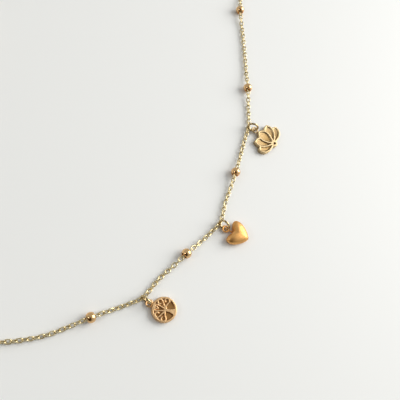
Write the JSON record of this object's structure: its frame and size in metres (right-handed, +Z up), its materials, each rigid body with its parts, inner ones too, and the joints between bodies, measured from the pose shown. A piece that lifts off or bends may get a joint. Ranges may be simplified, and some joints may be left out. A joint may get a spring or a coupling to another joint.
{
  "type": "charm anklet",
  "caption": "Fine cable chain anklet with round beads, and a lotus, a puffed heart and a tree of life charm on jump rings, laid in a loop.",
  "frame": {"origin": "middle of the laid loop's box, on the surface that it lies on", "axes": "+Z up from the surface, +Y along the longer way of the laid loop and up in the picture, +X to the right in the picture"},
  "size_m": [0.0708, 0.0924, 0.0028],
  "materials": {
    "chain_gold": "polished gold plate over brass",
    "bead_gold": "polished gold plate over brass",
    "ring_gold": "polished gold plate over brass",
    "lotus_gold": "satin gold plate over brass",
    "heart_gold": "mirror polished gold plate over brass",
    "tree_gold": "satin rose gold plate over brass"
  },
  "bodies": {
    "root": {"clasp": "chain_gold", "bead_1": "bead_gold", "bead_2": "bead_gold", "bead_3": "bead_gold", "bead_4": "bead_gold", "bead_5": "bead_gold", "bead_6": "bead_gold", "bead_7": "bead_gold", "bead_8": "bead_gold", "bead_9": "bead_gold", "bead_10": "bead_gold", "bead_11": "bead_gold", "chain_1": "chain_gold", "chain_2": "chain_gold", "chain_3": "chain_gold", "chain_4": "chain_gold", "chain_5": "chain_gold", "chain_6": "chain_gold", "chain_7": "chain_gold", "chain_8": "chain_gold", "chain_9": "chain_gold", "chain_10": "chain_gold", "chain_11": "chain_gold", "chain_12": "chain_gold", "lotus_charm": "lotus_gold", "lotus_ring": "ring_gold", "heart_charm": "heart_gold", "heart_ring": "ring_gold", "tree_charm": "tree_gold", "tree_ring": "ring_gold"}
  },
  "joints": []
}
